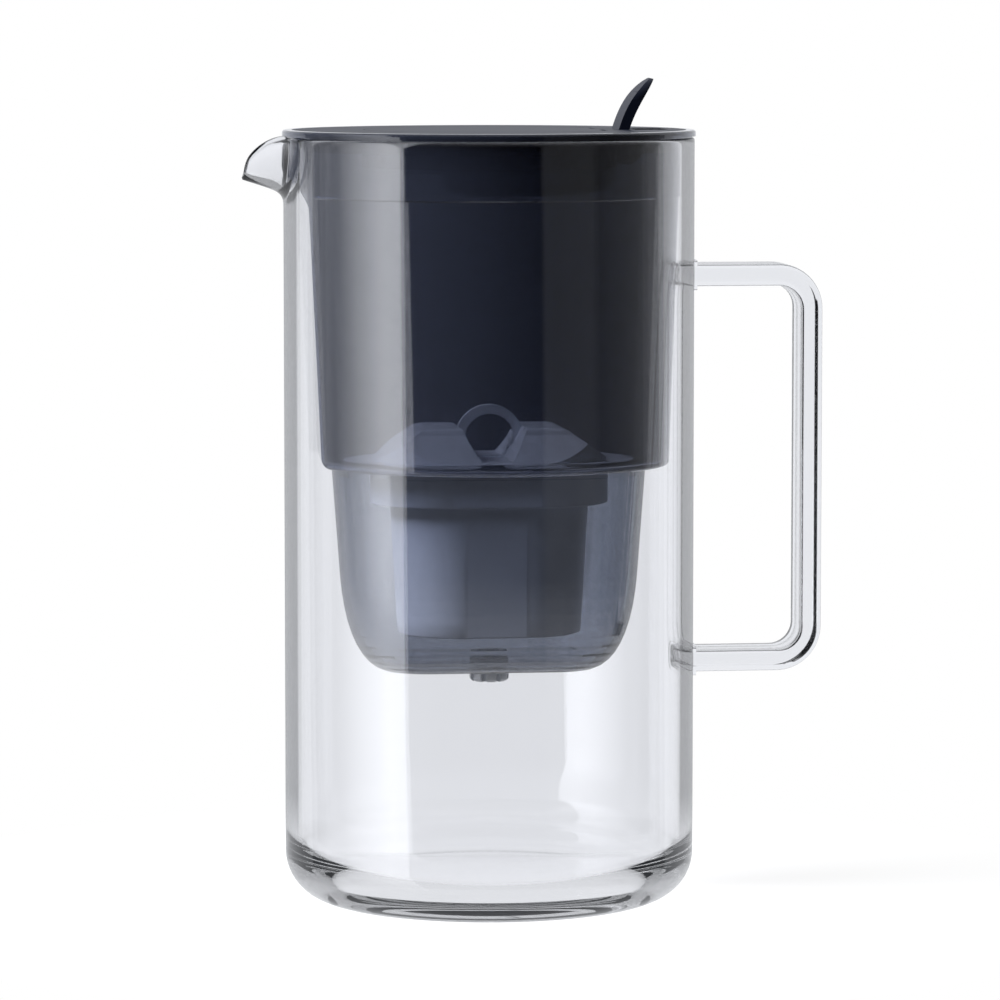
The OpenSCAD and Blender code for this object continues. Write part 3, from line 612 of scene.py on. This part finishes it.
place_camera()
studio_world()
studio_floor()
studio_lamp("key_lamp", azimuth=-70.0, elevation=42.0, away=2.0, side=0.8, power=125.0)
studio_lamp("back_lamp", azimuth=150.0, elevation=35.0, away=2.0, side=1.2, power=35.0)

# Jug: clear, with painted shade on its edges where the eye looks along the wall
glass = borosilicate_glass("blown_borosilicate", edge=0.6, low_edge=0.12)
# Handle: the same glass as a drawn strap, with less painted shade on its edges, so they are lighter
handle_glass = borosilicate_glass("drawn_borosilicate", edge=0.3, low_edge=0.3)
# Reservoir: nearly black navy from outside, still see-through
navy = smoked_plastic("navy_smoked_san", "#52555F", "#ADBCE8", haze=0.018, ior=1.45, clear="#F0F1F4", rim=0.0)
# Cup and splash guard: lighter blue-grey smoke, with painted shade where the eye looks along the wall
grey_smoke = smoked_plastic("grey_smoked_san", "#A9AEB9", "#98A2BC", haze=0.015, ior=1.5, clear="#F4F5F8",
                            rim=0.6)
# Lid and flap: near-black with a satin sheen from the mould's fine grain
lid_black = moulded_plastic("navy_abs", "#0B0E17", "#0F131F", roughness=0.45, grain_mm=0.4, grain=0.05,
                            ior=1.22)
# Cartridge's cap: pale and smooth, so that its edges catch the light through the dark reservoir
cap_blue = moulded_plastic("pale_polypropylene", "#D0D5DD", "#D8DCE3", roughness=0.25, grain_mm=0.3,
                           grain=0.1)
# Cartridge's body: satin blue-grey
cartridge_blue = moulded_plastic("blue_grey_polypropylene", "#A8ACB6", "#B0B4BE", roughness=0.4, grain_mm=0.3,
                                 grain=0.1)
# Nozzle: light and polished, with glints on its facets
nozzle_grey = moulded_plastic("light_grey_polypropylene", "#D8DCE2", "#E2E5EA", roughness=0.15, grain_mm=0.3,
                              grain=0.05)
# Screens: pale and dull, with the weave as a fine unevenness
mesh_white = moulded_plastic("woven_polyester_mesh", "#C8CCD2", "#E0E2E6", roughness=0.8, grain_mm=0.25,
                             grain=0.6)
# Granules: dark and rough, 0.8 mm grains
granule_grey = moulded_plastic("carbon_granules", "#141414", "#3A3A3A", roughness=0.7, grain_mm=0.8,
                               grain=1.0)
# Seal: dull soft grey
silicone = moulded_plastic("grey_silicone", "#8C9098", "#94989F", roughness=0.6, grain_mm=0.4, grain=0.1)
# Hinge pin
steel = ground_steel()

jug = make_piece("jug_body", *jug_skin(), "jug")
finish_with(jug, glass)
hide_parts("glass_jug")

node_finishes = {
    "glass_handle": handle_glass, "reservoir": navy, "filter_cup": grey_smoke, "outlet_nozzle": nozzle_grey,
    "cartridge_shell": cartridge_blue, "cartridge_base": cartridge_blue, "outlet_screen": mesh_white,
    "filter_granules": granule_grey, "inlet_screen": mesh_white, "cartridge_cap": cap_blue,
    "cartridge_seal": silicone, "lid_frame": lid_black, "splash_guard": grey_smoke, "hinge_pin": steel,
    "flap": lid_black,
}
for node, finish in node_finishes.items():
    finish_with(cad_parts[node], finish)

# Edge radii in millimetres, as the moulds leave them
edge_radii = {
    "cartridge_cap": 0.9, "cartridge_shell": 0.5, "lid_frame": 0.3, "flap": 0.4, "splash_guard": 0.3,
    "outlet_nozzle": 0.25,
}
for node, radius in edge_radii.items():
    ease_edges(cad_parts[node], radius)
